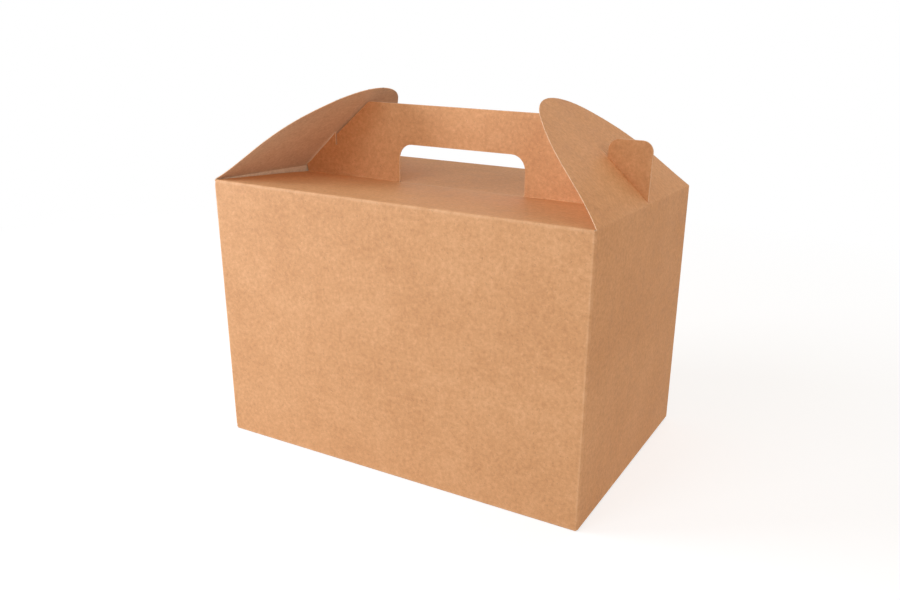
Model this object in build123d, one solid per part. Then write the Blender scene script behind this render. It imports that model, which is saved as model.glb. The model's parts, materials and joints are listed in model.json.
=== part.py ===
from build123d import *

import os
from math import cos, hypot, radians, sin, tan

# A picnic box folded from one sheet of kraft board, with a carrying handle and two end ears.
# X runs along the box, Y across it with the front at -Y, and Z is up.
# The origin is at the centre of the base. All sizes are in millimetres.

# Box, outside
box_length = 270
box_width = 179
box_height = 181
board = 0.5
crease_radius = 1.2

# Lids, which dip from the long walls to the handle
lid_drop = 4.4
lid_side_inset = 2.5

# Handle, two panels back to back, with heights above the box top
handle_rise = 49.5
handle_gap = 0.25
handle_corner = 3
slot_length = 100
slot_rise = 22.2
slot_corner = 10

# Tabs at the ends of the handle, set in from the ends of the long folds
tab_inset = 0.2
tab_length = 28.1
tab_rise = 37.8
tab_flare = 6
tab_outer_corner = 7.5
tab_inner_corner = 7
notch_width = 1.2
notch_floor = 17.4

# Ears, hinged on the end walls, with the tab through a slit
ear_lean = 40
ear_reach = 91.8
ear_tip_radius = 54.5
ear_tip_angle = 42
fold_gap = 0.3
fit = 0.3

# Glued seam at the back left corner
seam_width = 16
seam_setback = 0.4
seam_end_gap = 8
seam_end_slant = 5

# Self-locking bottom: long flaps hooked together under side flaps that are glued to them
layer_gap = 0.2
flap_land = 3
flap_taper = 2.5
lock_gap = 0.6
hook_start = 8
hook_length = 62
hook_depth = 14
hook_undercut = 5
hook_slant = 12
side_flap_reach = 66
side_flap_relief = 2.5

# Places that follow from the sizes above
half_length = box_length / 2
half_width = box_width / 2
fold_radius = crease_radius - board / 2
layer = board + layer_gap
wall_x = half_length - board / 2
wall_y = half_width - board / 2
panel_y = handle_gap / 2 + board / 2
lid_z = box_height - board / 2
valley_z = lid_z - lid_drop
end_wall_top = box_height - board
hinge_x = wall_x
hinge_z = end_wall_top + fold_gap + board / 2
fold_end_x = half_length - crease_radius
fold_end_y = half_width - crease_radius
tab_outer_x = fold_end_x - tab_inset
tab_inner_x = tab_outer_x - tab_length


def strip(plane, points, start, end):
    """Board that follows a folded line, from one place along the folds to another."""
    line = FilletPolyline(*points, radius=fold_radius)
    return extrude(plane.offset(start) * trace(line, board), end - start)


def long_side(side):
    """Long wall, its lid and its half of the handle, before the handle is cut to shape."""
    points = [
        (side * (half_width - flap_land), board / 2),
        (side * wall_y, board / 2),
        (side * wall_y, lid_z),
        (side * panel_y, valley_z),
        (side * panel_y, box_height + handle_rise),
    ]
    return strip(Plane.YZ, points, -fold_end_x, fold_end_x)


def end_wall(side, back_end):
    """End wall with its bottom fold, from the front corner to the back one."""
    foot = board / 2 + layer
    points = [
        (side * (half_length - flap_land), foot),
        (side * wall_x, foot),
        (side * wall_x, end_wall_top),
    ]
    return strip(Plane.XZ, points, -back_end, fold_end_y)


def corner(side_x, side_y, depth):
    """Rounded upright corner between two walls."""
    ring = Circle(crease_radius) - Circle(crease_radius - board)
    reach = 2 * crease_radius
    ring &= Pos(side_x * reach / 2, side_y * reach / 2) * Rectangle(reach, reach)
    foot = Pos(side_x * fold_end_x, side_y * (depth - crease_radius), crease_radius)
    return extrude(foot * ring, end_wall_top - crease_radius)


def glue_flap():
    """Flap of the left end wall, glued inside the back wall."""
    start = -fold_end_x
    end = start + seam_width
    low = seam_end_gap
    high = end_wall_top - seam_end_gap
    outline = Polyline(
        (start, low),
        (end, low + seam_end_slant),
        (end, high - seam_end_slant),
        (start, high),
        close=True,
    )
    face = Plane.XZ.offset(-(half_width - board)) * make_face(outline)
    return extrude(face, board)


def seam_cut():
    """Strip cut from the back wall, so that its edge stands clear of the rounded corner."""
    corner_box = Box(seam_setback, crease_radius, box_height, align=Align.MIN)
    return Pos(-fold_end_x, fold_end_y, 0) * corner_box


def lid_side_cuts():
    """What falls away beside the tapered lids, at both ends."""
    inner_y = panel_y + board / 2
    outline = Polyline(
        (fold_end_x, fold_end_y),
        (half_length - lid_side_inset, inner_y),
        (half_length, inner_y),
        (half_length, fold_end_y),
        close=True,
    )
    low = valley_z - 2 * crease_radius
    wedge = extrude(Plane.XY.offset(low) * make_face(outline), box_height + crease_radius - low)
    wedge += mirror(wedge, about=Plane.XZ)
    return wedge + mirror(wedge, about=Plane.YZ)


def handle_outline():
    """Front view of the handle: bar, slanted shoulders under the ears, notches and end tabs."""
    under_ear = board / 2 + fit
    line_x = hinge_x - under_ear * sin(radians(ear_lean))
    line_z = hinge_z - under_ear * cos(radians(ear_lean))
    slope = tan(radians(ear_lean))
    top = box_height + handle_rise
    tab_top = box_height + tab_rise
    floor = box_height + notch_floor
    bar_side = tab_inner_x - notch_width
    points = [
        (0, valley_z),
        (half_length - lid_side_inset, valley_z),
        (tab_outer_x, valley_z + tab_flare),
        (tab_outer_x, tab_top),
        (tab_inner_x, tab_top),
        (tab_inner_x, floor),
        (bar_side, floor),
        (bar_side, line_z + (line_x - bar_side) * slope),
        (line_x - (top - line_z) / slope, top),
        (0, top),
    ]
    notch_round = 0.45 * notch_width
    radii = [
        0,
        handle_corner,
        tab_outer_corner,
        tab_inner_corner,
        notch_round,
        notch_round,
        notch_round,
        handle_corner,
    ]
    half = FilletPolyline(*points, radius=radii)
    return make_face([*half.edges(), *mirror(half, about=Plane.YZ).edges()])


def handle_waste():
    """Board of the two handle panels that lies outside the handle's outline."""
    depth = handle_gap + 2 * board
    low = valley_z
    high = box_height + handle_rise
    blank = Pos(0, (low + high) / 2) * Rectangle(box_length, high - low)
    return extrude(Plane.XZ * (blank - handle_outline()), depth / 2, both=True)


def finger_slot():
    """Slot for the fingers, open down to the lids, through both panels and their folds."""
    half_slot = slot_length / 2
    low = valley_z - 2 * crease_radius
    top = box_height + slot_rise
    points = [(-half_slot, low), (-half_slot, top), (half_slot, top), (half_slot, low)]
    line = FilletPolyline(*points, radius=slot_corner)
    closing = Line(points[-1], points[0])
    depth = panel_y + crease_radius
    return extrude(Plane.XZ * make_face([*line.edges(), closing]), depth, both=True)


def lock_hook():
    """Hook at the middle edge of a long bottom flap, undercut on its inner side."""
    hook_end = hook_start + hook_length
    outline = Polyline(
        (hook_start, -lock_gap),
        (hook_end, -lock_gap),
        (hook_end - hook_slant, hook_depth),
        (hook_start - hook_undercut, hook_depth),
        close=True,
    )
    return make_face(outline)


def long_flap():
    """Outer bottom flap of the front wall, with its hook and the recess for the other one."""
    root = fold_end_x - layer
    edge = fold_end_x - flap_taper
    outline = Polyline(
        (-root, -half_width + flap_land),
        (root, -half_width + flap_land),
        (edge, -lock_gap / 2),
        (-edge, -lock_gap / 2),
        close=True,
    )
    recess = Rot(0, 0, 180) * offset(lock_hook(), lock_gap, kind=Kind.INTERSECTION)
    return extrude(make_face(outline) + lock_hook() - recess, board)


def side_flap():
    """Inner bottom flap of the right end wall, its back corner glued to the back flap."""
    fold_x = half_length - flap_land
    edge_x = half_length - side_flap_reach
    front_y = -fold_end_y + side_flap_relief
    back_y = fold_end_y - side_flap_relief
    depth = fold_x - edge_x
    outline = Polyline(
        (fold_x, front_y),
        (edge_x, front_y + depth),
        (edge_x, back_y),
        (fold_x, back_y),
        close=True,
    )
    glued = Polyline((fold_x, back_y), (edge_x, back_y - depth), (edge_x, back_y), close=True)
    flap = extrude(Pos(0, 0, layer) * make_face(outline), board)
    return flap + extrude(Pos(0, 0, board) * make_face(glued), layer_gap)


def bottom_flaps():
    """The four bottom flaps, each pair alike and turned half round."""
    half_turn = Rot(0, 0, 180)
    flaps = [long_flap(), side_flap()]
    return flaps + [half_turn * flap for flap in flaps]


def carton():
    """The folded sheet without its ears: walls, seam, locked bottom, lids and handle."""
    seam_y = half_width - board
    walls = [
        end_wall(1, fold_end_y),
        end_wall(-1, seam_y - crease_radius),
        corner(1, -1, half_width),
        corner(1, 1, half_width),
        corner(-1, -1, half_width),
        corner(-1, 1, seam_y),
    ]
    sides = long_side(-1) + long_side(1)
    long_sides = sides - handle_waste() - lid_side_cuts() - finger_slot()
    long_sides -= seam_cut()
    return long_sides + walls + glue_flap() + bottom_flaps()


def ear_outline():
    """Ear laid flat: straight along the fold, gently bowed sides and a round tip."""
    base = fold_end_y
    angle = radians(ear_tip_angle)
    centre = ear_reach - ear_tip_radius
    right_end = (ear_tip_radius * sin(angle), centre + ear_tip_radius * cos(angle))
    left_end = (-right_end[0], right_end[1])
    tip = ThreePointArc(left_end, (0, ear_reach), right_end)
    right_side = TangentArc(right_end, (base, 0), tangent=(cos(angle), -sin(angle)))
    left_side = mirror(right_side, about=Plane.YZ)
    return make_face([Line((-base, 0), (base, 0)), tip, right_side, *left_side.edges()])


def ear_slit():
    """Slit that the tab passes through at every angle of the ear."""
    corner_x = hinge_x - tab_inner_x - tab_inner_corner
    corner_z = box_height + tab_rise - tab_inner_corner - hinge_z
    tab_swing = hypot(corner_x, corner_z) + tab_inner_corner
    width = handle_gap + 2 * board + 2 * fit
    end = tab_swing + width / 2
    straight = Pos(0, (end - width / 2 - board) / 2) * Rectangle(width, end - width / 2 + board)
    return straight + Pos(0, end - width / 2) * Circle(width / 2)


def right_ear():
    """Ear at the right end, rounded along its fold, leaning over the handle."""
    lean = radians(ear_lean)
    plane = Plane((hinge_x, 0, hinge_z), x_dir=(0, 1, 0), z_dir=(sin(lean), 0, cos(lean)))
    panel = extrude(plane * ear_outline(), board / 2, both=True)
    bead = Pos(hinge_x, 0, hinge_z) * Rot(90, 0, 0) * Cylinder(board / 2, 2 * fold_end_y)
    return panel + bead - extrude(plane * ear_slit(), board, both=True)


os.makedirs("parts", exist_ok=True)
ear = right_ear()
export_step(carton(), "parts/carton.step")
export_step(ear, "parts/right_ear.step")
export_step(mirror(ear, about=Plane.YZ), "parts/left_ear.step")
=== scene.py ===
import json
from cmath import exp, phase
from math import ceil, cos, pi, radians, sin, tan

import bpy
import numpy as np
from mathutils import Euler, Matrix, Vector, geometry


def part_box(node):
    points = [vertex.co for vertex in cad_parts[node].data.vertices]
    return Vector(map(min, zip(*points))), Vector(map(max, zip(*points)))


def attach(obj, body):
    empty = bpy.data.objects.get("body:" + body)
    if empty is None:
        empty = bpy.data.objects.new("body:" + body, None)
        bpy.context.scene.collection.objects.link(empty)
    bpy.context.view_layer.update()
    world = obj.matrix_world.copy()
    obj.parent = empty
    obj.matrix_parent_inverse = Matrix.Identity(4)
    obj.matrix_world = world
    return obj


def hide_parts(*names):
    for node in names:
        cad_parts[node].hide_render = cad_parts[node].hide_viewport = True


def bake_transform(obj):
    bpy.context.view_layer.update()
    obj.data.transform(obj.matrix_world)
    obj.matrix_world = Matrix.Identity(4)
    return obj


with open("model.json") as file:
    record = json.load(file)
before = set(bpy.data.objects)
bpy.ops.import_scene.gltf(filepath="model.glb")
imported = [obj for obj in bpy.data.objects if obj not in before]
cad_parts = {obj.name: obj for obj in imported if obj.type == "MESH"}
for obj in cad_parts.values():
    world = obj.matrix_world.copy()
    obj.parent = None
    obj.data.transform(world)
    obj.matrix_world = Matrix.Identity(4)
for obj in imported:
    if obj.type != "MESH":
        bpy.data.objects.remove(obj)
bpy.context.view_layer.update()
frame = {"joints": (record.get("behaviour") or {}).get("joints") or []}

# A picnic box folded from one sheet of kraft board: the carton, and an ear hinged at each end.
# The sheet is drawn flat, with u along the four walls and v up them, and folded point by point.
# Sizes of the sheet are in millimetres. X runs along the box, the front is at -Y, and Z is up.
MM = 0.001
carton_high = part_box("carton")[1]
fold_place = next(j for j in frame["joints"] if j["name"] == "right_ear_fold")["pos_m"]

# Board
board = 0.5
edge_round = 0.18
crease_radius = 1.2
crease_spread = 1.2
layer_gap = 0.2
fold_radius = crease_radius - board / 2

# Walls, at the middle of the board, with the ears' fold just above the end walls
half_length = carton_high.x / MM
half_width = carton_high.y / MM
wall_x = half_length - board / 2
wall_y = half_width - board / 2
seam_y = wall_y - board
fold_gap = 0.3
hinge_z = fold_place[2] / MM
wall_low = crease_radius
wall_top = hinge_z - fold_gap - board / 2
box_top = wall_top + board
corner_rise = 0.35
above_walls = wall_top + 1

# Waves of the board: height, lengths along u and v for one radian, and start in radians
waves = (
    (0.25, 31, 47, 1.1),
    (0.25, 31, -47, 0.3),
    (0.3, 17, 39, 2.1),
    (0.45, 58, -71, 2.7708),
)
wave_fade = 28

# How strong the waves are on the bottom flap, the wall and, further up, each panel after a fold
end_waviness = (0, 0.35, 0.25)
long_waviness = (0, 0.45, 0.3, 0)

# Lids, which dip from the long walls to the handle
lid_drop = 4.4
lid_end = 132.5
lid_edge_gap = 0.06
lid_z = box_top - board / 2
valley_z = lid_z - lid_drop

# Handle, two panels back to back, with each rise measured from the box top
handle_top = carton_high.z / MM
handle_gap = 0.25
handle_corner = 3
shoulder_fit = 0.3
shoulder_gap = board / 2 + shoulder_fit
panel_gap = (handle_gap + board) / 2
slot_length = 98.6
slot_rise = 22.2
slot_corner = 10
slot_shift = 0.25
slot_end_gap = 0.4
slot_depth = panel_gap + crease_radius
tab_outer = 133.6
tab_inner = 105.5
tab_rise = 37.8
tab_flare = 6
tab_splay = 0.9
tab_corner = 7
notch_width = 1.2
notch_rise = 17.4
notch_corner = 0.45 * notch_width

# Ears
ear_lean = 40
ear_reach = 91.8
ear_tip_radius = 54.5
ear_tip_angle = 42
# Share of the crease lightening, partly wear and partly painted highlight, that an ear's fold gets
ear_fold_wear_and_highlight = 0.25

# How far an ear stands out near its fold and near its tip: in its middle, and at its two sides
ear_middle_bow = (0.9, 0.5)
left_ear_bows = ((-1.8, 4.4), (-1.8, 4.6))
right_ear_bows = ((3.3, 0.0), (-0.5, 2.6))

# Slit of an ear, open where the tab goes through and a mere cut beyond, with curled lips and a pale band
# along them, partly frayed fibres and partly a painted highlight
slit_width = 1.5
slit_foot = 1.0
slit_open = 38.8
slit_end = 45.9
slit_corner = 0.3
slit_narrowing = 1.0
slit_cut = 0.12
slit_cut_corner = 0.45 * slit_cut
lip_reach = 2.0
lip_curl = 0.9
lip_fade = (3, 6)
lip_shares = (0.4, 0.8, 1.25)
fray_and_highlight_reach = 1.9

# Glued seam
seam_width = 16
seam_setback = 0.4
seam_low = 8
seam_slant = 5

# Locked bottom: long flaps hooked together under end flaps, with reaches from the middle of a wall
long_foot = board / 2
end_foot = long_foot + board + layer_gap
flap_land = 2.75
long_flap_step = board + layer_gap
long_flap_taper = 2.5
lock_gap = 0.6
hook_start = 8
hook_length = 62
hook_depth = 14
hook_undercut = 5
hook_slant = 12
hook_corner = 1.5
end_flap_reach = 65.75
end_flap_relief = 2.5
end_flap_corner = 3

# How finely the sheet is divided
pitch = 6.0
row_margin = 3.0
bend_steps = 6
turn_step = radians(12)
rim_angles = (90, 45, 0, -45, -90)
edge_clearance = 0.8
split_clearance = 0.05
nearest_points = 0.01
slope_step = 0.01
touching = 0.001
weld = 1e-5
far_off = 1e6
spare_length = 10

# Texture of the board: features in a metre, detail and roughness of each layer, and its share
cloud_layer = (22, 3, 0.5)
blot_layer = (110, 3, 0.6)
fleck_layer = (400, 2, 0.6)
grain_layer = (1100, 2, 0.6)
tone_shares = (0.2, 0.25, 0.38, 0.17)
tone_range = (0.36, 0.64)

# Fibres: way in degrees, length and width in metres, and the level of noise where they begin
light_strands = ((12, 0.0034, 0.0009, 0.66), (77, 0.0028, 0.0008, 0.67), (140, 0.0022, 0.0008, 0.68))
dark_strands = ((40, 0.0026, 0.0009, 0.67), (108, 0.0022, 0.0008, 0.68))
strand_layer = (1, 1, 0.5)
strand_edge = 0.1
light_strength = 0.4
dark_strength = 0.35

# Creases lightened partly by wear and partly as a painted highlight, from a range of the blots to a
# range of that lightening, and the finish of the board
wear_and_highlight_range = (0.35, 0.65, 0.1, 0.4)
rough_range = (0.3, 0.7)
rough_spread = 0.05
bump_shares = (0.6, 0.4, 0.6)
bump_strength = 0.35
bump_depth = 0.00008
gloss = 0.2

# Floor and surround
floor_reach = 4.0
floor_tone = 0.5
floor_glow = 0.68
floor_fade = (0.3, 0.9)
surround_level = 0.41
surround_colour = (1.0, 0.93, 0.85, 1)

# Lamps: azimuth from the front to the right, elevation, level, colour and distance, 0 for far off
softbox_size = 0.6
far_lamp_angle = 50
far_lamp_place = 2
lamp_aim = (0, 0, 0.1)
lamps = (
    ("left_lamp", -62, 12, 0.72, (0.92, 1.02, 1.18), 1.3),
    ("front_lamp", -18, 25, 0.17, (0.92, 1.02, 1.18), 1.3),
    ("right_lamp", 70, 12, 0.29, (1.0, 0.9, 0.82), 0),
    ("back_lamp", 180, 45, 0.1, (1.0, 0.9, 0.82), 0),
)

# Camera
camera_place = (0.2781, -0.4660, 0.2677)
camera_azimuth = 26.2
camera_elevation = 18.68
camera_roll = 1.9
camera_lens = 31.65
camera_sensor = 36
camera_shift = (-0.0778, 0.02)
camera_range = (0.01, 50)


class Line:
    """Straight runs through points of a plane, with round corners, measured along the length."""

    def __init__(self, points, radii):
        spots = [complex(*point) for point in points]
        ways = [(b - a) / abs(b - a) for a, b in zip(spots, spots[1:])]
        self.starts = []
        self.spots = []
        self.ways = []
        self.turns = []
        self.corners = [0.0]
        self.bends = []
        length = 0.0
        spot = spots[0]
        for corner, way, next_way, radius in zip(spots[1:-1], ways, ways[1:], radii):
            angle = phase(next_way / way)
            cut = radius * tan(abs(angle) / 2)
            self.add(length, spot, way, 0.0)
            length += abs(corner - spot) - cut
            if radius:
                arc = radius * abs(angle)
                self.add(length, corner - cut * way, way, angle / arc)
                self.bends.append((length, length + arc))
                length += arc
            spot = corner + cut * next_way
            self.corners.append(length - cut)
        self.add(length, spot, ways[-1], 0.0)

    def add(self, start, spot, way, turn):
        self.starts.append(start)
        self.spots.append(spot)
        self.ways.append(way)
        self.turns.append(turn)

    def at(self, lengths):
        """Points of the line and its ways there, for an array of lengths."""
        run = np.searchsorted(self.starts, lengths, side="right") - 1
        run = np.clip(run, 0, len(self.starts) - 1)
        along = lengths - np.array(self.starts)[run]
        spot = np.array(self.spots)[run]
        way = np.array(self.ways)[run]
        turn = np.array(self.turns)[run]
        turned = way * np.exp(1j * turn * along)
        bent = turn != 0
        step = way * along
        step[bent] = (turned[bent] - way[bent]) / (1j * turn[bent])
        return spot + step, turned


class Panel:
    """A wall with what is folded from its foot and its top."""

    def __init__(self, start, end, middle, profile, foot, waviness, bows=None, slot_side=0):
        self.start = start
        self.end = end
        self.middle = middle
        self.slot_middle = middle + slot_side * slot_shift
        self.profile = profile
        self.shift = profile.corners[1] - foot
        self.bends = [(a - self.shift, b - self.shift) for a, b in profile.bends]
        self.waviness = waviness
        self.bows = bows

    def holds(self, u, v):
        """Which places of the sheet are on the wall or on what is folded from it."""
        beyond = (v > above_walls) & (self.profile is long_profile)
        spare = np.where(beyond, tab_splay, 0) + touching
        return (u >= self.start - spare) & (u <= self.end + spare)

    def up(self, corner, distance):
        """Height in the flat sheet, a distance along the profile from one of its corners."""
        return self.profile.corners[corner] + distance - self.shift

    def flap(self, inward):
        """Height in the flat sheet of a place on the bottom flap, by its distance from the wall."""
        return self.profile.spots[0].real - inward - self.shift


def profile_of(points):
    return Line(points, [fold_radius] * (len(points) - 2))


def smooth_step(x):
    x = np.clip(x, 0, 1)
    return x * x * (3 - 2 * x)


# The walls from above, from the glue flap round the front to the free end of the back wall
perimeter = Line(
    [
        (seam_width + crease_radius - half_length, seam_y),
        (-wall_x, seam_y),
        (-wall_x, -wall_y),
        (wall_x, -wall_y),
        (wall_x, wall_y),
        (-wall_x, wall_y),
    ],
    [fold_radius] * 4,
)
back_fold = perimeter.corners[4] + 2 * wall_x - fold_radius
back_end = back_fold - seam_setback

long_profile = profile_of(
    [
        (wall_y + hook_depth + spare_length, long_foot),
        (0, long_foot),
        (0, lid_z),
        (wall_y - panel_gap, valley_z),
        (wall_y - panel_gap, handle_top + spare_length),
    ]
)
lid_way = complex(wall_y - panel_gap, valley_z - lid_z)
lid_way /= abs(lid_way)
lean = radians(ear_lean)
ear_length = ear_reach + spare_length
end_profile = profile_of(
    [
        (end_flap_reach + spare_length, end_foot),
        (0, end_foot),
        (0, hinge_z),
        (ear_length * cos(lean), hinge_z + ear_length * sin(lean)),
    ]
)


def make_panels():
    bends = perimeter.bends
    corners = perimeter.corners
    left_middle = corners[1] + seam_y
    front_middle = corners[2] + wall_x
    right_middle = corners[3] + wall_y
    back_middle = corners[4] + wall_x
    end = (end_profile, end_foot, end_waviness)
    long = (long_profile, long_foot, long_waviness)
    return {
        "left": Panel(bends[0][1], bends[1][0], left_middle, *end, bows=left_ear_bows),
        "front": Panel(bends[1][1], bends[2][0], front_middle, *long, slot_side=-1),
        "right": Panel(bends[2][1], bends[3][0], right_middle, *end, bows=right_ear_bows),
        "back": Panel(bends[3][1], back_fold, back_middle, *long, slot_side=1),
    }


panels = make_panels()


def ear_bend(panel, u, v):
    """How far an ear stands out: bowed, more so at its sides, its slit's lips curled in."""
    share = np.clip((v - panel.bends[1][1]) / ear_reach, 0, 1)
    beside = abs(u - panel.middle)
    cupped = np.clip(beside / wall_y, 0, 1) ** 2
    # Two curves along the ear, highest at a third and at two thirds, where they are 1
    curves = 27 / 4 * np.array([share * (1 - share) ** 2, share**2 * (1 - share)])
    first, last = (np.array(bows) @ curves for bows in panel.bows)
    height = (1 - cupped) * (np.array(ear_middle_bow) @ curves)
    height += cupped * np.where(u < panel.middle, first, last)
    low = panel.up(2, slit_foot)
    high = panel.up(2, slit_open)
    near = np.clip((slit_width / 2 + lip_reach - beside) / lip_reach, 0, 1)
    within = smooth_step((v - low) / lip_fade[0]) * smooth_step((high - v) / lip_fade[1])
    return height - lip_curl * within * near**2


def bulge(u, v):
    """How far the board stands out from its true plane: slight waves that die out at the folds."""
    wave = sum(most * np.sin(u / du + v / dv + start) for most, du, dv, start in waves)
    height = np.zeros(len(u))
    for panel in panels.values():
        on_it = panel.holds(u, v)
        beside = np.minimum(u - panel.start, panel.end - u)
        beside = np.where(v > above_walls, far_off, beside)
        size = np.full(len(u), float(panel.waviness[0]))
        near = np.full(len(u), far_off)
        for (low, high), amount in zip(panel.bends, panel.waviness[1:]):
            size[v > (low + high) / 2] = amount
            near = np.minimum(near, np.maximum(0, np.maximum(low - v, v - high)))
        fade = smooth_step(near / wave_fade) * smooth_step(beside / wave_fade)
        height[on_it] = (size * fade * wave)[on_it]
        if panel.bows:
            height[on_it] += ear_bend(panel, u, v)[on_it]
    return height


def fold(u, v):
    """Middle of the board in the folded box, with the ways along u and v and the outward normal."""
    base, way = perimeter.at(u)
    across = np.zeros(len(u))
    height = v.copy()
    rise = np.full(len(u), 1j)
    for panel in panels.values():
        on_it = panel.holds(u, v)
        nearest = np.clip(u[on_it], panel.start, panel.end)
        base[on_it], way[on_it] = perimeter.at(nearest)
        base[on_it] += way[on_it] * (u[on_it] - nearest)
        spot, rise[on_it] = panel.profile.at(v[on_it] + panel.shift)
        across[on_it] = spot.real
        height[on_it] = spot.imag
        if panel.profile is long_profile:
            edge = on_it & (abs(u - panel.slot_middle) < slot_length / 2 - slot_end_gap / 2)
            edge &= (v > panel.bends[2][0] - touching) & (v < panel.bends[2][1])
            spot = complex(0, lid_z) + lid_way * (v[edge] - panel.up(2, 0))
            across[edge] = spot.real
            height[edge] = spot.imag
            rise[edge] = lid_way
    inward = 1j * way
    ground = base + inward * across
    lean_in = inward * rise.real
    place = np.column_stack([ground.real, ground.imag, height])
    along = np.column_stack([way.real, way.imag, np.zeros(len(u))])
    up = np.column_stack([lean_in.real, lean_in.imag, rise.imag])
    normal = np.cross(along, up)
    slope_u = (bulge(u + slope_step, v) - bulge(u - slope_step, v)) / (2 * slope_step)
    slope_v = (bulge(u, v + slope_step) - bulge(u, v - slope_step)) / (2 * slope_step)
    place += normal * bulge(u, v)[:, None]
    tilted = normal - along * slope_u[:, None] - up * slope_v[:, None]
    tilted /= np.linalg.norm(tilted, axis=1)[:, None]
    return place, along, up, tilted


def crease_lightening(u, v):
    """How much the sheet is lightened on its creases, partly as wear and partly as a painted highlight:
    most on a fold, fading a little beside it, and less where an ear folds.
    """
    near = np.full(len(u), far_off)
    for low, high in perimeter.bends:
        beside = np.maximum(0, np.maximum(low - u, u - high))
        near = np.where(v < wall_top + touching, np.minimum(near, beside), near)
    wear = 1 - smooth_step(near / crease_spread)
    for panel in panels.values():
        on_it = panel.holds(u, v)
        for (low, high), most in zip(panel.bends, (1, ear_fold_wear_and_highlight if panel.bows else 1)):
            beside = np.maximum(0, np.maximum(low - v, v - high))
            worn_and_highlit = most * (1 - smooth_step(beside / crease_spread))
            wear = np.where(on_it, np.maximum(wear, worn_and_highlit), wear)
    return wear


def slit_fray_and_highlight(u, v):
    """1 along the edges of an ear's slit, where the board is painted paler, partly as frayed fibres and
    partly as a highlight of the edge, and 0 beside them.
    """
    wear = np.zeros(len(u))
    for panel in panels.values():
        if panel.bows:
            beside = abs(u - panel.middle) - slit_width / 2
            low = panel.up(2, slit_foot)
            high = panel.up(2, slit_open)
            along = (v > low - touching) & (v < high + touching)
            fray = np.clip(1 - beside / fray_and_highlight_reach, 0, 1)
            wear = np.where(along & panel.holds(u, v), fray, wear)
    return wear


def divided(low, high, size):
    """Values from low to high, evenly spaced and no further apart than size."""
    return list(np.linspace(low, high, max(1, ceil((high - low) / size - touching)) + 1))


wall_rows = divided(wall_low + row_margin, wall_top - row_margin, pitch)


def bend_rows(panel, low, high):
    """Heights where a panel is divided between low and high: finely in each bend, evenly elsewhere."""
    flat_ends = [low]
    rows = []
    for a, b in panel.bends:
        flat_ends += [a - crease_spread, b + crease_spread]
        rows += divided(a, b, (b - a) / bend_steps)
    flat_ends.append(high)
    for number, (a, b) in enumerate(zip(flat_ends[::2], flat_ends[1::2])):
        rows += [a, *wall_rows, b] if number == 1 else divided(a, max(a, b), pitch)
    return sorted({round(row, 6) for row in rows if low <= row <= high})


def rounded(corners):
    """Closed outline through corners (u, v) or (u, v, radius), its round corners in short steps."""
    points = [corner[:2] for corner in corners]
    radii = [corner[2] if len(corner) > 2 else 0 for corner in corners]
    first = tuple((a + b) / 2 for a, b in zip(points[-1], points[0]))
    line = Line([first, *points, first], radii)
    lengths = set(line.starts)
    for start, end in line.bends:
        angle = abs(line.turns[line.starts.index(start)]) * (end - start)
        lengths.update(divided(start, end, (end - start) / ceil(angle / turn_step)))
    spots, _ = line.at(np.array(sorted(lengths)))
    kept = [spots[0]]
    for spot in spots[1:]:
        if abs(spot - kept[-1]) > nearest_points:
            kept.append(spot)
    return kept


def stepped(outline, columns, rows):
    """The outline with more points: where it crosses the given columns and rows, and evenly between."""
    points = []
    for a, b in zip(outline, outline[1:] + outline[:1]):
        way = b - a
        margin = split_clearance / abs(way)
        shares = set()
        if abs(way.real) > nearest_points:
            shares |= {(column - a.real) / way.real for column in columns}
        if abs(way.imag) > nearest_points:
            shares |= {(row - a.imag) / way.imag for row in rows}
        shares = [0.0, *sorted(s for s in shares if margin < s < 1 - margin), 1.0]
        for low, high in zip(shares, shares[1:]):
            points += [a + way * share for share in divided(low, high, pitch / abs(way))[:-1]]
    return points


def inside(points, loops):
    """Which points lie within the loops, by the number of edges to the right of each."""
    within = np.zeros(len(points), bool)
    for loop in loops:
        ends = np.roll(loop, -1)
        for a, b in zip(loop, ends):
            if a.imag == b.imag:
                continue
            level = (points.imag >= min(a.imag, b.imag)) & (points.imag < max(a.imag, b.imag))
            crossing = a.real + (points.imag - a.imag) * (b.real - a.real) / (b.imag - a.imag)
            within ^= level & (points.real < crossing)
    return within


def edge_distance(points, loops):
    """Distance of each point from the nearest edge of the loops."""
    nearest = np.full(len(points), far_off)
    for loop in loops:
        for a, b in zip(loop, np.roll(loop, -1)):
            way = b - a
            share = np.clip(((points - a) * np.conj(way)).real / abs(way) ** 2, 0, 1)
            nearest = np.minimum(nearest, abs(points - a - share * way))
    return nearest


def triangles(loops, grid):
    """Points and triangles of the flat sheet within its loops, from their points and an inner grid."""
    grid = grid[inside(grid, loops)]
    grid = grid[edge_distance(grid, loops) > edge_clearance]
    points = np.concatenate([*loops, grid])
    edges = []
    start = 0
    for loop in loops:
        edges += [(start + k, start + (k + 1) % len(loop)) for k in range(len(loop))]
        start += len(loop)
    flat = [Vector((p.real, p.imag)) for p in points]
    made = geometry.delaunay_2d_cdt(flat, edges, [], 0, weld)
    spots = np.array([complex(*p) for p in made[0]])
    faces = np.array(made[2])
    centres = spots[faces].mean(axis=1)
    return spots, faces[inside(centres, loops)]


def rim_ways(spots, faces):
    """Edges of the flat sheet, and the way out of it at each of their points."""
    sides = np.concatenate([faces[:, [0, 1]], faces[:, [1, 2]], faces[:, [2, 0]]])
    known = {(a, b) for a, b in sides}
    rim = [(a, b) for a, b in sides if (b, a) not in known]
    out = np.zeros(len(spots), complex)
    for a, b in rim:
        way = (spots[b] - spots[a]) / abs(spots[b] - spots[a])
        out[a] -= 1j * way
        out[b] -= 1j * way
    size = abs(out)
    size[size == 0] = 1
    return rim, out / size


def joined_places(spots):
    """Which places of the flat sheet lie where an ear continues its end wall."""
    u = spots.real
    on_end = np.zeros(len(spots), bool)
    for panel in panels.values():
        if panel.bows:
            on_end |= (u > panel.start - touching) & (u < panel.end + touching)
    return on_end & (abs(spots.imag - wall_top) < touching)


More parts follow.
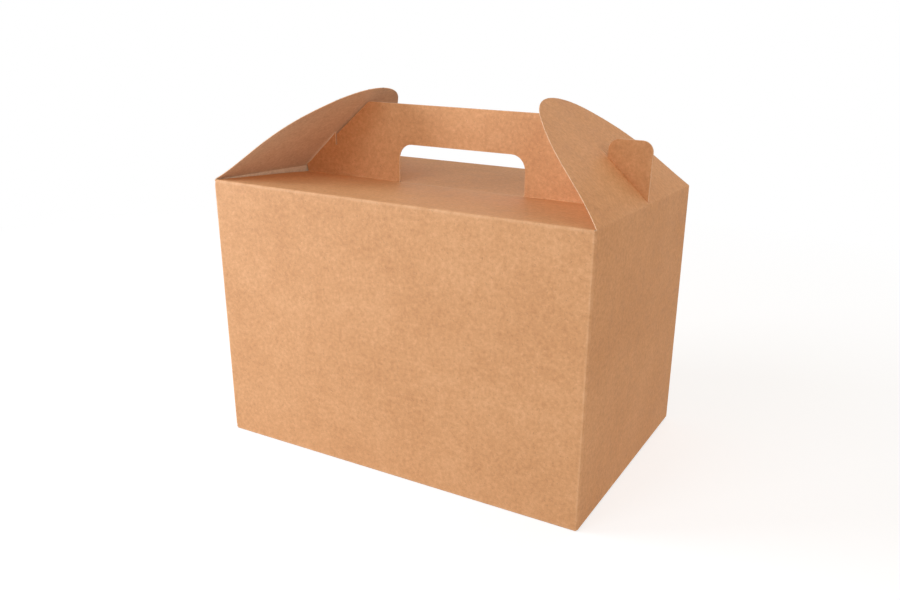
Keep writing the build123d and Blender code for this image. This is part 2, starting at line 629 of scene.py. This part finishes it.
def board_layers(spots, rim, out):
    """Points of the outer skin, the rounded rim and the inner skin of the folded board.

    Returns for each layer the numbers of its points by place of the flat sheet, -1 where it has
    none, and for all points where they are, which way they face and their place in the flat sheet.
    """
    place, along, up, normal = fold(spots.real.copy(), spots.imag.copy())
    out_way = along * out.real[:, None] + up * out.imag[:, None]
    everywhere = np.arange(len(spots))
    on_rim = np.unique(rim)
    numbers = []
    points = []
    facing = []
    places = []
    count = 0
    for angle in rim_angles:
        rise = sin(radians(angle))
        reach = cos(radians(angle))
        kept = everywhere if abs(rise) == 1 else on_rim
        number = np.full(len(spots), -1)
        number[kept] = count + np.arange(len(kept))
        numbers.append(number)
        moved = place + normal * board / 2 * rise + out_way * edge_round * (reach - 1)
        points.append(moved[kept])
        facing.append((normal * rise + out_way * reach)[kept])
        places.append(spots[kept])
        count += len(kept)
    return numbers, np.concatenate(points), np.concatenate(facing), np.concatenate(places)


def board_polygons(faces, rim, joined, numbers):
    """Polygons of the two skins and the rim, each with 0 for outside, 1 for inside or 2 for a cut."""
    outer = [tuple(numbers[0][face]) for face in faces]
    inner = [tuple(numbers[-1][face[::-1]]) for face in faces]
    polygons = outer + inner
    kinds = [0] * len(outer) + [1] * len(inner)
    rim_kinds = [0 if joined[a] and joined[b] else 2 for a, b in rim]
    for upper, lower in zip(numbers, numbers[1:]):
        polygons += [(upper[b], upper[a], lower[a], lower[b]) for a, b in rim]
        kinds += rim_kinds
    return [tuple(int(number) for number in polygon) for polygon in polygons], kinds


def sheet_piece(name, outlines, grid_ranges, materials):
    """Piece folded from its flat outlines, its cut edges rounded and its joined ones not."""
    columns = sorted({c for ranges in grid_ranges for c in ranges[0]})
    rows = sorted({r for ranges in grid_ranges for r in ranges[1]})
    loops = [np.array(stepped(outline, columns, rows)) for outline in outlines]
    grid = np.concatenate([np.add.outer(c, 1j * np.array(r)).ravel() for c, r in grid_ranges])
    spots, faces = triangles(loops, np.unique(grid))
    rim, out = rim_ways(spots, faces)
    joined = joined_places(spots)
    out[joined] = out[joined].real
    numbers, points, facing, places = board_layers(spots, rim, out)
    polygons, kinds = board_polygons(faces, rim, joined, numbers)

    mesh = bpy.data.meshes.new(name)
    mesh.from_pydata([tuple(point) for point in points * MM], [], polygons)
    mesh.polygons.foreach_set("material_index", kinds)
    mesh.polygons.foreach_set("use_smooth", [True] * len(polygons))
    for material in materials:
        mesh.materials.append(material)
    corner_points = np.zeros(len(mesh.loops), int)
    mesh.loops.foreach_get("vertex_index", corner_points)
    layer = mesh.uv_layers.new(name="sheet")
    corners = np.column_stack([places.real, places.imag])[corner_points] * MM
    layer.data.foreach_set("uv", corners.ravel())
    for title, measure in (("crease_wear_and_highlight", crease_lightening), ("slit_fray_and_highlight", slit_fray_and_highlight)):
        wear = mesh.attributes.new(title, "FLOAT", "POINT")
        wear.data.foreach_set("value", measure(places.real.copy(), places.imag.copy()))
    mesh.normals_split_custom_set([tuple(facing[point]) for point in corner_points])
    mesh.update()
    piece = bpy.data.objects.new(name, mesh)
    bpy.context.scene.collection.objects.link(piece)
    return piece


def crossing(a, way_a, b, way_b):
    """Point where the line through a meets the line through b."""
    gap = b - a
    share = (gap * np.conj(way_b)).imag / (way_a * np.conj(way_b)).imag
    return a + way_a * share


def long_bottom(panel, last):
    """Bottom outline of a long wall from left to right, with its hook and the recess for the other."""
    side = wall_x - fold_radius
    root = side - long_flap_step
    edge = side - long_flap_taper
    middle = wall_y - lock_gap / 2
    hook_end = hook_start + hook_length
    tip = wall_y + hook_depth
    far = complex(-hook_end, wall_y + lock_gap)
    far_tip = complex(hook_slant - hook_end, wall_y - hook_depth)
    near_tip = complex(hook_undercut - hook_start, wall_y - hook_depth)
    near = complex(-hook_start, wall_y + lock_gap)
    far_way = (far_tip - far) / abs(far_tip - far)
    near_way = (near - near_tip) / abs(near - near_tip)
    far_side = far - 1j * far_way * lock_gap
    near_side = near_tip - 1j * near_way * lock_gap
    bottom = near_tip - 1j * lock_gap
    level = complex(0, middle)
    recess = [
        crossing(level, 1, far_side, far_way),
        crossing(bottom, 1, far_side, far_way),
        crossing(bottom, 1, near_side, near_way),
        crossing(level, 1, near_side, near_way),
    ]
    lean_in = hook_undercut / (hook_depth + lock_gap)
    lean_out = hook_slant / (hook_depth + lock_gap)
    gap = lock_gap / 2
    points = [
        (-side, flap_land),
        (-root, flap_land),
        (-edge, middle),
        (recess[0].real, recess[0].imag),
        (recess[1].real, recess[1].imag, hook_corner),
        (recess[2].real, recess[2].imag, hook_corner),
        (recess[3].real, recess[3].imag),
        (hook_start - gap * lean_in, middle),
        (hook_start - hook_undercut, tip, hook_corner),
        (hook_end - hook_slant, tip, hook_corner),
        (hook_end - gap * lean_out, middle),
        (edge, middle),
        (min(root, last), flap_land),
        (last, flap_land),
    ]
    return [(panel.middle + t, panel.flap(n), *rest) for t, n, *rest in points]


def end_bottom(panel, first):
    """Bottom outline of an end wall from left to right, with its flap slanted on one side."""
    last = wall_y - fold_radius
    relief = last - end_flap_relief
    slanted = end_flap_reach - flap_land
    points = [
        (-first, flap_land),
        (-relief, flap_land),
        (slanted - relief, end_flap_reach, end_flap_corner),
        (relief, end_flap_reach, end_flap_corner),
        (relief, flap_land),
        (last, flap_land),
    ]
    return [(panel.middle + t, panel.flap(n), *rest) for t, n, *rest in points]


def handle_half(panel):
    """Right half of a lid's side and of the handle, from the box corner to the middle of its top."""
    slope = tan(lean)
    line_x = wall_x - shoulder_gap * sin(lean)
    line_z = hinge_z - shoulder_gap * cos(lean)
    bar_side = tab_inner - notch_width
    tab_top = box_top + tab_rise
    notch_floor = box_top + notch_rise
    valley = sum(panel.bends[2]) / 2

    def up(z):
        return panel.up(3, z - valley_z)

    return [
        (wall_x - fold_radius, panel.bends[1][1]),
        (lid_end, valley),
        (tab_outer, up(valley_z + tab_flare), handle_corner),
        (tab_outer + tab_splay, up(tab_top), tab_corner),
        (tab_inner, up(tab_top), tab_corner),
        (tab_inner, up(notch_floor), notch_corner),
        (bar_side, up(notch_floor), notch_corner),
        (bar_side, up(line_z + (line_x - bar_side) * slope), notch_corner),
        (line_x - (handle_top - line_z) / slope, up(handle_top), handle_corner),
    ]


def long_top(panel, last):
    """Top outline of a long wall from right to left: lid, handle and tabs."""
    half = handle_half(panel)
    right = [(panel.middle + t, *rest) for t, *rest in half]
    left = [(panel.middle - t, *rest) for t, *rest in half]
    right[0] = (panel.middle + last, right[0][1])
    return right + left[::-1]


def finger_slot(panel):
    """Outline of the slot in a handle panel, from the lid's free edge to the rounded top."""
    half = slot_length / 2
    inner = half - slot_end_gap
    low = panel.up(2, (wall_y - slot_depth) / lid_way.real)
    edge = panel.up(2, (wall_y - lid_edge_gap) / lid_way.real)
    top = panel.up(3, box_top + slot_rise - valley_z)
    middle = panel.slot_middle
    return rounded(
        [
            (middle - half, low),
            (middle - inner, low),
            (middle - inner, edge),
            (middle + inner, edge),
            (middle + inner, low),
            (middle + half, low),
            (middle + half, top, slot_corner),
            (middle - half, top, slot_corner),
        ]
    )


def corner_top(number):
    """Top outline of a rounded corner, from right to left, slightly raised in its middle."""
    low, high = perimeter.bends[number]
    return [(high, wall_top), ((low + high) / 2, wall_top + corner_rise), (low, wall_top)]


def carton_outline():
    """Outline of the sheet without its ears, anticlockwise from the foot of the glue flap."""
    left, front, right, back = panels.values()
    side = wall_x - fold_radius
    back_last = back_end - back.middle
    glue_fold = perimeter.bends[0][0]
    seam_high = wall_top - seam_low
    points = [(0, seam_low + seam_slant), (glue_fold, seam_low), (glue_fold, wall_low)]
    points += [(left.start, wall_low)]
    points += end_bottom(left, left.middle - left.start)
    points += [(left.end, wall_low), (front.start, wall_low)]
    points += long_bottom(front, side)
    points += [(front.end, wall_low), (right.start, wall_low)]
    points += end_bottom(right, wall_y - fold_radius)
    points += [(right.end, wall_low), (back.start, wall_low)]
    points += long_bottom(back, back_last)
    points += [(back_end, wall_top)]
    points += long_top(back, back_last)
    points += corner_top(3) + corner_top(2)
    points += long_top(front, side)
    points += corner_top(1) + corner_top(0)
    points += [(glue_fold, seam_high), (0, seam_high - seam_slant)]
    return rounded(points)


def carton_grid():
    """Columns and rows of the sheet without its ears, wall by wall and corner by corner."""
    ranges = []
    for panel in panels.values():
        low = panel.flap(end_flap_reach if panel.profile is end_profile else wall_y + hook_depth)
        high = panel.up(3, handle_top - valley_z) if len(panel.bends) > 2 else wall_top
        between = divided(panel.start + crease_spread, panel.end - crease_spread, pitch)
        ranges.append(([panel.start, *between, panel.end], bend_rows(panel, low, high)))
    for low, high in perimeter.bends:
        ranges.append((divided(low, high, (high - low) / bend_steps), wall_rows))
    glue = perimeter.bends[0][0]
    ranges.append((divided(0, glue - crease_spread, pitch), wall_rows))
    return ranges


def arc(start, way, end):
    """Points of the arc that leaves start along way and comes to end, with both ends."""
    chord = end - start
    half_turn = phase(chord / way)
    radius = abs(chord) / (2 * sin(half_turn))
    count = ceil(abs(2 * half_turn * radius) / (pitch / 2))
    return [start + way * radius * (exp(2j * half_turn * k / count) - 1) / 1j for k in range(count + 1)]


def ear_outlines(panel):
    """Outline of an ear, with the board up to its fold, and of its slit."""
    angle = radians(ear_tip_angle)
    middle = panel.middle
    base = panel.up(2, 0)
    centre = complex(middle, base + ear_reach - ear_tip_radius)
    right = centre + ear_tip_radius * complex(sin(angle), cos(angle))
    left = centre + ear_tip_radius * complex(-sin(angle), cos(angle))
    fold_top = panel.bends[1][1]
    right_foot = complex(panel.end, fold_top)
    left_foot = complex(panel.start, fold_top)
    down = complex(cos(angle), -sin(angle))
    right_side = arc(right, down, right_foot)[::-1]
    left_side = arc(left, -down.conjugate(), left_foot)
    tip = arc(right, -down, left)
    outline = [complex(panel.start, wall_top), complex(panel.end, wall_top)]
    outline += right_side + tip[1:] + left_side[1:]
    half = slit_width / 2
    cut = slit_cut / 2
    narrowed = slit_open + slit_narrowing
    slit = rounded(
        [
            (middle - half, base + slit_foot, slit_corner),
            (middle + half, base + slit_foot, slit_corner),
            (middle + half, base + slit_open),
            (middle + cut, base + narrowed),
            (middle + cut, base + slit_end, slit_cut_corner),
            (middle - cut, base + slit_end, slit_cut_corner),
            (middle - cut, base + narrowed),
            (middle - half, base + slit_open),
        ]
    )
    return [outline, slit]


def ear_grid(panel):
    rows = bend_rows(panel, wall_top, panel.up(2, ear_reach))
    lips = [slit_width / 2 + lip_reach * share for share in lip_shares]
    lip_columns = sorted(panel.middle + side * lip for lip in lips for side in (-1, 1))
    return [(divided(panel.start, panel.end, pitch), rows), (lip_columns, rows)]


class Nodes:
    """The node tree of a material or world, with a short way to add to it."""

    def __init__(self, owner):
        owner.use_nodes = True
        self.tree = owner.node_tree
        self.tree.nodes.clear()

    def add(self, kind, inputs=None, **settings):
        node = self.tree.nodes.new("ShaderNode" + kind)
        for name, value in settings.items():
            setattr(node, name, value)
        for name, value in (inputs or {}).items():
            if isinstance(value, bpy.types.NodeSocket):
                self.tree.links.new(value, node.inputs[name])
            else:
                node.inputs[name].default_value = value
        return node

    def noise(self, place, scale, detail, roughness):
        settings = {"Vector": place, "Scale": scale, "Detail": detail, "Roughness": roughness}
        return self.add("TexNoise", settings).outputs["Fac"]

    def math(self, operation, a, b):
        return self.add("Math", {0: a, 1: b}, operation=operation).outputs[0]

    def between(self, value, low, high, to_low=0.0, to_high=1.0):
        limits = {"Value": value, "From Min": low, "From Max": high, "To Min": to_low, "To Max": to_high}
        return self.add("MapRange", limits).outputs["Result"]

    def weighed(self, parts):
        """Sum of values, each times its weight."""
        total = 0.0
        for value, weight in parts:
            total = self.math("ADD", total, self.math("MULTIPLY", value, weight))
        return total

    def mix(self, share, a, b):
        colours = {0: share, 6: a, 7: b}
        return self.add("Mix", colours, data_type="RGBA").outputs[2]

    def ramp(self, value, colours):
        """A colour for each value, from 0 to 1 through evenly spaced colours."""
        node = self.add("ValToRGB", {"Fac": value})
        elements = node.color_ramp.elements
        while len(elements) < len(colours):
            elements.new(0.5)
        for number, (element, colour) in enumerate(zip(elements, colours)):
            element.position = number / (len(colours) - 1)
            element.color = (*colour, 1)
        return node.outputs["Color"]


def fibres(nodes, place, strands):
    """Thin strands of the board as a mask, from the way, length, width and level of each kind."""
    mask = 0.0
    for turn, length, width, level in strands:
        scale = (1 / length, 1 / width, 1)
        turned = nodes.add("Mapping", {"Vector": place, "Rotation": (0, 0, radians(turn))})
        stretched = nodes.add("Mapping", {"Vector": turned.outputs[0], "Scale": scale})
        strand = nodes.noise(stretched.outputs[0], *strand_layer)
        mask = nodes.math("MAXIMUM", mask, nodes.between(strand, level, level + strand_edge))
    return mask


def kraft(name, tones, light_fibre, dark_fibre, roughness, frayed_and_highlit=0.0):
    """Kraft board: cloudy tones with fine flecks, light and dark fibres, and creases painted paler,
    partly as wear and partly as a painted highlight.
    """
    material = bpy.data.materials.new(name)
    nodes = Nodes(material)
    place = nodes.add("TexCoord").outputs["UV"]
    clouds = nodes.noise(place, *cloud_layer)
    blots = nodes.noise(place, *blot_layer)
    flecks = nodes.noise(place, *fleck_layer)
    grain = nodes.noise(place, *grain_layer)
    tone = nodes.weighed(zip((clouds, blots, flecks, grain), tone_shares))
    colour = nodes.ramp(nodes.between(tone, *tone_range), tones)
    light = fibres(nodes, place, light_strands)
    dark = fibres(nodes, place, dark_strands)
    colour = nodes.mix(nodes.math("MULTIPLY", light, light_strength), colour, (*light_fibre, 1))
    colour = nodes.mix(nodes.math("MULTIPLY", dark, dark_strength), colour, (*dark_fibre, 1))
    # Creases lightened towards the light fibre colour, partly as wear and partly as a painted highlight
    wear = nodes.add("Attribute", attribute_name="crease_wear_and_highlight").outputs["Fac"]
    worn_and_highlit = nodes.math("MULTIPLY", wear, nodes.between(blots, *wear_and_highlight_range))
    colour = nodes.mix(worn_and_highlit, colour, (*light_fibre, 1))
    # Pale band along an ear's slit, partly frayed fibres and partly a painted highlight of the edge
    if frayed_and_highlit:
        fray = nodes.add("Attribute", attribute_name="slit_fray_and_highlight").outputs["Fac"]
        colour = nodes.mix(nodes.math("MULTIPLY", fray, frayed_and_highlit), colour, (*light_fibre, 1))
    height = nodes.weighed(zip((grain, light, flecks), bump_shares))
    relief = {"Height": height, "Strength": bump_strength, "Distance": bump_depth}
    finish = {
        "Base Color": colour,
        "Roughness": nodes.between(
            blots, *rough_range, roughness - rough_spread, roughness + rough_spread
        ),
        "Normal": nodes.add("Bump", relief).outputs[0],
        "Specular IOR Level": gloss,
    }
    shader = nodes.add("BsdfPrincipled", finish)
    nodes.add("OutputMaterial", {"Surface": shader.outputs[0]})
    return material


def board_materials():
    """The outside of the board, its paler inside and its cut edge, each from dark to light; the inside
    and the cut edge are made paler still as painted light.
    """
    outside = kraft(
        "kraft_outside",
        [(0.66, 0.313, 0.132), (0.77, 0.388, 0.173), (0.88, 0.475, 0.23)],
        light_fibre=(0.94, 0.56, 0.31),
        dark_fibre=(0.36, 0.15, 0.055),
        roughness=0.6,
    )
    # The inside is the board's paler, greyer side, its tones raised further as painted light for inner
    # faces in shade
    inner = kraft(
        "kraft_inside",
        [(0.65, 0.47, 0.325), (0.75, 0.56, 0.40), (0.85, 0.66, 0.49)],
        light_fibre=(0.97, 0.85, 0.68),
        dark_fibre=(0.36, 0.20, 0.10),
        roughness=0.8,
        # Strength of the pale band along the slits, partly frayed fibres and partly a painted highlight
        frayed_and_highlit=0.9,
    )
    # The cut edge is the board's paler cut fibres, its tones raised further as painted light for cut
    # edges in shade
    cut_edge = kraft(
        "kraft_cut_edge",
        [(0.86, 0.50, 0.28), (0.95, 0.61, 0.37), (0.98, 0.70, 0.46)],
        light_fibre=(0.98, 0.78, 0.56),
        dark_fibre=(0.50, 0.30, 0.16),
        roughness=0.85,
    )
    return [outside, inner, cut_edge]


materials = board_materials()
carton_loops = [carton_outline(), finger_slot(panels["front"]), finger_slot(panels["back"])]
carton = sheet_piece("folded_carton", carton_loops, carton_grid(), materials)
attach(carton, "carton")
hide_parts("carton")

for side in ("left", "right"):
    panel = panels[side]
    body = side + "_ear"
    ear = sheet_piece("folded_" + body, ear_outlines(panel), ear_grid(panel), materials)
    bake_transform(ear)
    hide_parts(body)


def seen_ray(nodes):
    """1 for rays from the camera, and for what gloss and glass show."""
    rays = nodes.add("LightPath").outputs
    seen = nodes.math("MAXIMUM", rays["Is Camera Ray"], rays["Is Glossy Ray"])
    return nodes.math("MAXIMUM", seen, rays["Is Transmission Ray"])


def studio_floor():
    """Pale floor that shows white, with the shadow of the box round it."""
    mesh = bpy.data.meshes.new("floor")
    ways = ((-1, -1), (1, -1), (1, 1), (-1, 1))
    corners = [(x * floor_reach, y * floor_reach, 0) for x, y in ways]
    mesh.from_pydata(corners, [], [(0, 1, 2, 3)])
    material = bpy.data.materials.new("floor_paper")
    nodes = Nodes(material)
    paper = nodes.add("BsdfDiffuse", {"Color": (floor_tone, floor_tone, floor_tone, 1)}).outputs[0]
    glow = nodes.add("Emission", {"Color": (1, 1, 1, 1), "Strength": floor_glow}).outputs[0]
    both = nodes.add("AddShader", {0: paper, 1: glow}).outputs[0]
    white = nodes.add("Emission", {"Color": (1, 1, 1, 1), "Strength": 1.0}).outputs[0]
    place = nodes.add("TexCoord").outputs["Object"]
    distance = nodes.add("VectorMath", {0: place}, operation="LENGTH").outputs["Value"]
    far = nodes.between(distance, *floor_fade)
    shown = nodes.add("MixShader", {0: far, 1: both, 2: white}).outputs[0]
    shader = nodes.add("MixShader", {0: seen_ray(nodes), 1: paper, 2: shown}).outputs[0]
    nodes.add("OutputMaterial", {"Surface": shader})
    mesh.materials.append(material)
    floor = bpy.data.objects.new("floor", mesh)
    bpy.context.scene.collection.objects.link(floor)


def studio_lamp(name, azimuth, elevation, level, colour, distance):
    """Soft lamp that lights a surface facing it at a level, with 1 showing colours as written."""
    side = radians(azimuth)
    rise = radians(elevation)
    way = Vector((sin(side) * cos(rise), -cos(side) * cos(rise), sin(rise)))
    if distance:
        data = bpy.data.lights.new(name, "AREA")
        data.size = softbox_size
        data.energy = level * pi**2 * distance**2
    else:
        data = bpy.data.lights.new(name, "SUN")
        data.angle = radians(far_lamp_angle)
        data.energy = level * pi
    data.color = colour
    lamp = bpy.data.objects.new(name, data)
    lamp.location = Vector(lamp_aim) + way * (distance or far_lamp_place)
    lamp.rotation_euler = (-way).to_track_quat("-Z", "Y").to_euler()
    bpy.context.scene.collection.objects.link(lamp)


def studio_world():
    """Weak even surround that shows white."""
    world = bpy.data.worlds.new("studio")
    nodes = Nodes(world)
    weak = nodes.add("Background", {"Color": surround_colour, "Strength": surround_level}).outputs[0]
    white = nodes.add("Background", {"Color": (1, 1, 1, 1), "Strength": 1.0}).outputs[0]
    shader = nodes.add("MixShader", {0: seen_ray(nodes), 1: weak, 2: white}).outputs[0]
    nodes.add("OutputWorld", {"Surface": shader})
    bpy.context.scene.world = world


def studio_camera():
    data = bpy.data.cameras.new("camera")
    data.lens = camera_lens
    data.sensor_width = camera_sensor
    data.shift_x, data.shift_y = camera_shift
    data.clip_start, data.clip_end = camera_range
    camera = bpy.data.objects.new("camera", data)
    aim = Euler((radians(90 - camera_elevation), 0, radians(camera_azimuth)), "XYZ")
    roll = Matrix.Rotation(radians(camera_roll), 4, "Z")
    camera.matrix_world = Matrix.Translation(camera_place) @ aim.to_matrix().to_4x4() @ roll
    bpy.context.scene.collection.objects.link(camera)
    bpy.context.scene.camera = camera


studio_floor()
for lamp in lamps:
    studio_lamp(*lamp)
studio_world()
studio_camera()
bpy.context.scene.view_settings.view_transform = "Standard"

bpy.context.view_layer.update()
